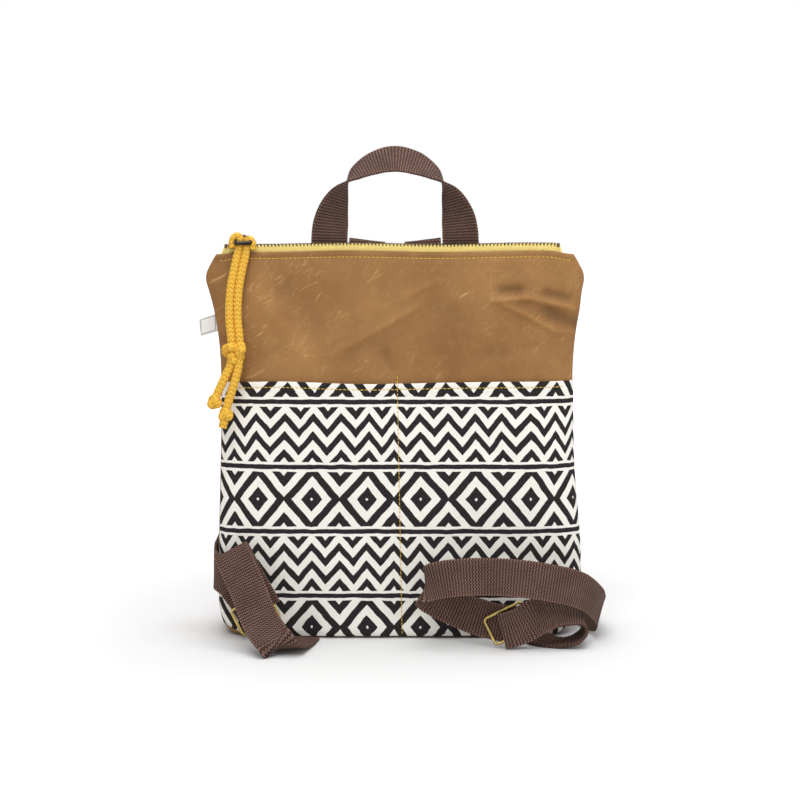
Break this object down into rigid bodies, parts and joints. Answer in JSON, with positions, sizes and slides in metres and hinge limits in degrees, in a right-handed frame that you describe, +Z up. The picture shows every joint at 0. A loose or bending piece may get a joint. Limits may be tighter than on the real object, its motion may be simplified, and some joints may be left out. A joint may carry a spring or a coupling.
{
  "type": "mini backpack",
  "caption": "Small flat zip-top backpack in waxed canvas with a printed slip pocket, webbing handle, shoulder straps and a knotted cord zip pull.",
  "frame": {"origin": "Centre of the flat base, on the surface that the bag stands on.", "axes": "+Z up to the handle, +X to the bag's right as seen from the front, the printed pocket faces -Y."},
  "size_m": [0.2861, 0.1386, 0.3432],
  "materials": {
    "waxed_canvas": "waxed canvas with pull-up marks",
    "printed_cotton": "black and cream printed cotton canvas",
    "woven_tag": "white woven tape",
    "zip_tape": "yellow woven zip tape",
    "zip_metal": "antique brass, dark",
    "dark_metal": "dark antique plating",
    "braided_cord": "braided cotton cord",
    "webbing": "brown cotton webbing",
    "brass": "polished wire"
  },
  "bodies": {
    "bag": {"front_panel": "waxed_canvas", "back_panel": "waxed_canvas", "base_panel": "waxed_canvas", "front_pocket": "printed_cotton", "side_tag": "woven_tag", "zip_tape_front": "zip_tape", "zip_tape_back": "zip_tape", "zip_teeth_front": "zip_metal", "zip_teeth_back": "zip_metal", "zip_stop_left": "zip_metal", "zip_stop_right": "zip_metal", "grab_handle": "webbing", "strap_left": "webbing", "strap_right": "webbing", "lower_strap_left": "webbing", "lower_strap_right": "webbing", "adjuster_left": "brass", "adjuster_right": "brass"},
    "slider": {"zip_slider": "zip_metal"},
    "pull": {"zip_pull": "dark_metal", "pull_cord_left": "braided_cord", "pull_cord_right": "braided_cord", "pull_knot": "braided_cord", "cord_tail_left": "braided_cord", "cord_tail_right": "braided_cord", "cord_end_knot_left": "braided_cord", "cord_end_knot_right": "braided_cord", "cord_hitch_left": "braided_cord", "cord_hitch_right": "braided_cord"}
  },
  "joints": [
    {"name": "zip_slide", "type": "slide", "parent": "bag", "child": "slider", "axis": [1, 0, 0], "range_m": [-0.006, 0.213]},
    {"name": "pull_lift", "type": "hinge", "parent": "slider", "child": "pull", "pos_m": [-0.1055, 0, 0.27825], "axis": [-1, 0, 0], "range_deg": [0, 120]}
  ]
}
